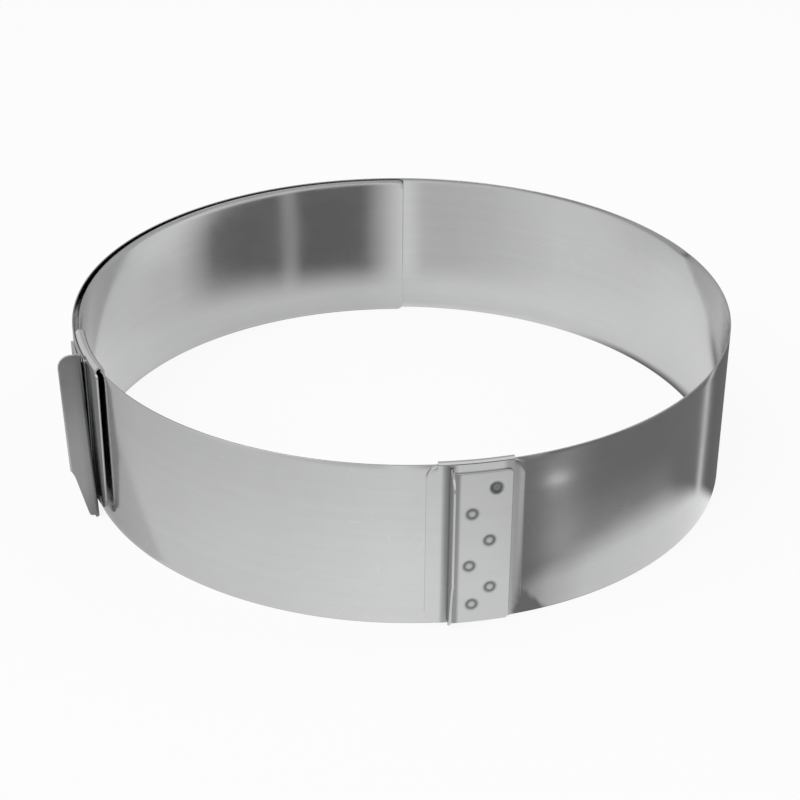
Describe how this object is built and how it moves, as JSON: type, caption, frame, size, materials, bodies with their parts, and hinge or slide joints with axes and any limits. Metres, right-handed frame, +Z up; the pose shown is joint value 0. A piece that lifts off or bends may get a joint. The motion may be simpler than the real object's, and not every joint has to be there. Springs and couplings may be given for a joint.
{
  "type": "adjustable cake ring",
  "caption": "Coiled steel strip on edge as a cake ring, with a fixed finger grip, and a sliding one whose guide hooks over the inner turn to set the diameter.",
  "frame": {"origin": "middle of the resting ring's bounding box, on the table", "axes": "+Z up along the ring's axis; -Y towards the front, where the fixed grip is; +X to the right"},
  "size_m": [0.2392, 0.2462, 0.0611],
  "materials": {
    "band": "bright rolled stainless sheet with a faint grain",
    "plates": "bright rolled stainless sheet",
    "grips": "satin stainless sheet with spot-weld marks"
  },
  "bodies": {
    "band_01": {"band_link_01": "band"},
    "band_02": {"band_link_02": "band"},
    "band_03": {"band_link_03": "band"},
    "band_04": {"band_link_04": "band"},
    "band_05": {"band_link_05": "band"},
    "band_06": {"band_link_06": "band"},
    "band_07": {"band_link_07": "band"},
    "band_08": {"band_link_08": "band"},
    "band_09": {"band_link_09": "band"},
    "front": {"band_link_10": "band", "base_plate": "plates", "fixed_grip": "grips"},
    "band_11": {"band_link_11": "band"},
    "band_12": {"band_link_12": "band"},
    "band_13": {"band_link_13": "band"},
    "band_14": {"band_link_14": "band"},
    "band_15": {"band_link_15": "band"},
    "band_16": {"band_link_16": "band"},
    "band_17": {"band_link_17": "band"},
    "band_18": {"band_link_18": "band"},
    "band_19": {"band_link_19": "band"},
    "band_20": {"band_link_20": "band"},
    "band_21": {"band_link_21": "band"},
    "band_22": {"band_link_22": "band"},
    "band_23": {"band_link_23": "band"},
    "outer_end": {"band_link_24": "band", "guide_plate": "plates", "outer_grip": "grips"}
  },
  "joints": [
    {"name": "ring_size", "type": "hinge", "parent": "front", "child": "band_11", "pos_m": [0.04527, -0.10605, 0.03], "axis": [0, 0, 1], "range_deg": [-4.2, 4.15]},
    {"name": "flex_09_10", "type": "hinge", "parent": "front", "child": "band_09", "pos_m": [0.0051, -0.11459, 0.03], "axis": [0, 0, 1], "range_deg": [-4.25, 4.3]},
    {"name": "flex_11_12", "type": "hinge", "parent": "band_11", "child": "band_12", "pos_m": [0.07934, -0.08498, 0.03], "axis": [0, 0, 1], "range_deg": [-4.16, 4.11]},
    {"name": "flex_08_09", "type": "hinge", "parent": "band_09", "child": "band_08", "pos_m": [-0.03578, -0.1088, 0.03], "axis": [0, 0, 1], "range_deg": [-4.26, 4.32]},
    {"name": "flex_12_13", "type": "hinge", "parent": "band_12", "child": "band_13", "pos_m": [0.10445, -0.05373, 0.03], "axis": [0, 0, 1], "range_deg": [-4.15, 4.1]},
    {"name": "flex_07_08", "type": "hinge", "parent": "band_08", "child": "band_07", "pos_m": [-0.07213, -0.08931, 0.03], "axis": [0, 0, 1], "range_deg": [-4.27, 4.32]},
    {"name": "flex_13_14", "type": "hinge", "parent": "band_13", "child": "band_14", "pos_m": [0.11772, -0.01584, 0.03], "axis": [0, 0, 1], "range_deg": [-4.15, 4.1]},
    {"name": "flex_06_07", "type": "hinge", "parent": "band_07", "child": "band_06", "pos_m": [-0.09952, -0.05853, 0.03], "axis": [0, 0, 1], "range_deg": [-4.28, 4.33]},
    {"name": "flex_14_15", "type": "hinge", "parent": "band_14", "child": "band_15", "pos_m": [0.1176, 0.02434, 0.03], "axis": [0, 0, 1], "range_deg": [-4.14, 4.09]},
    {"name": "flex_05_06", "type": "hinge", "parent": "band_06", "child": "band_05", "pos_m": [-0.11462, -0.02025, 0.03], "axis": [0, 0, 1], "range_deg": [-4.28, 4.33]},
    {"name": "flex_15_16", "type": "hinge", "parent": "band_15", "child": "band_16", "pos_m": [0.10407, 0.06222, 0.03], "axis": [0, 0, 1], "range_deg": [-4.13, 4.08]},
    {"name": "flex_04_05", "type": "hinge", "parent": "band_05", "child": "band_04", "pos_m": [-0.11563, 0.02084, 0.03], "axis": [0, 0, 1], "range_deg": [-4.29, 4.34]},
    {"name": "flex_16_17", "type": "hinge", "parent": "band_16", "child": "band_17", "pos_m": [0.07865, 0.09346, 0.03], "axis": [0, 0, 1], "range_deg": [-4.13, 4.08]},
    {"name": "flex_03_04", "type": "hinge", "parent": "band_04", "child": "band_03", "pos_m": [-0.10244, 0.05972, 0.03], "axis": [0, 0, 1], "range_deg": [-4.3, 4.35]},
    {"name": "flex_17_18", "type": "hinge", "parent": "band_17", "child": "band_18", "pos_m": [0.04424, 0.11446, 0.03], "axis": [0, 0, 1], "range_deg": [-4.12, 4.07]},
    {"name": "flex_02_03", "type": "hinge", "parent": "band_03", "child": "band_02", "pos_m": [-0.07671, 0.09165, 0.03], "axis": [0, 0, 1], "range_deg": [-4.3, 4.35]},
    {"name": "flex_18_19", "type": "hinge", "parent": "band_18", "child": "band_19", "pos_m": [0.00474, 0.12279, 0.03], "axis": [0, 0, 1], "range_deg": [-4.12, 4.07]},
    {"name": "flex_01_02", "type": "hinge", "parent": "band_02", "child": "band_01", "pos_m": [-0.04159, 0.11275, 0.03], "axis": [0, 0, 1], "range_deg": [-4.31, 4.36]},
    {"name": "flex_19_20", "type": "hinge", "parent": "band_19", "child": "band_20", "pos_m": [-0.03531, 0.11747, 0.03], "axis": [0, 0, 1], "range_deg": [-4.11, 4.06]},
    {"name": "flex_20_21", "type": "hinge", "parent": "band_20", "child": "band_21", "pos_m": [-0.07133, 0.09908, 0.03], "axis": [0, 0, 1], "range_deg": [-4.1, 4.05]},
    {"name": "flex_21_22", "type": "hinge", "parent": "band_21", "child": "band_22", "pos_m": [-0.09919, 0.06969, 0.03], "axis": [0, 0, 1], "range_deg": [-4.1, 4.05]},
    {"name": "flex_22_23", "type": "hinge", "parent": "band_22", "child": "band_23", "pos_m": [-0.11568, 0.03266, 0.03], "axis": [0, 0, 1], "range_deg": [-4.09, 4.04]},
    {"name": "flex_23_24", "type": "hinge", "parent": "band_23", "child": "outer_end", "pos_m": [-0.11887, -0.00779, 0.03], "axis": [0, 0, 1], "range_deg": [-4.08, 4.04]}
  ],
  "couplings": [
    {"joint": "flex_01_02", "follows": "ring_size", "ratio": -1.0332},
    {"joint": "flex_02_03", "follows": "ring_size", "ratio": -1.0318},
    {"joint": "flex_03_04", "follows": "ring_size", "ratio": -1.0304},
    {"joint": "flex_04_05", "follows": "ring_size", "ratio": -1.0289},
    {"joint": "flex_05_06", "follows": "ring_size", "ratio": -1.0274},
    {"joint": "flex_06_07", "follows": "ring_size", "ratio": -1.026},
    {"joint": "flex_07_08", "follows": "ring_size", "ratio": -1.0245},
    {"joint": "flex_08_09", "follows": "ring_size", "ratio": -1.023},
    {"joint": "flex_09_10", "follows": "ring_size", "ratio": -1.0181},
    {"joint": "flex_11_12", "follows": "ring_size", "ratio": 0.98538},
    {"joint": "flex_12_13", "follows": "ring_size", "ratio": 0.98395},
    {"joint": "flex_13_14", "follows": "ring_size", "ratio": 0.98251},
    {"joint": "flex_14_15", "follows": "ring_size", "ratio": 0.98107},
    {"joint": "flex_15_16", "follows": "ring_size", "ratio": 0.97961},
    {"joint": "flex_16_17", "follows": "ring_size", "ratio": 0.97815},
    {"joint": "flex_17_18", "follows": "ring_size", "ratio": 0.97667},
    {"joint": "flex_18_19", "follows": "ring_size", "ratio": 0.97519},
    {"joint": "flex_19_20", "follows": "ring_size", "ratio": 0.97371},
    {"joint": "flex_20_21", "follows": "ring_size", "ratio": 0.97221},
    {"joint": "flex_21_22", "follows": "ring_size", "ratio": 0.9707},
    {"joint": "flex_22_23", "follows": "ring_size", "ratio": 0.96919},
    {"joint": "flex_23_24", "follows": "ring_size", "ratio": 0.96766}
  ]
}
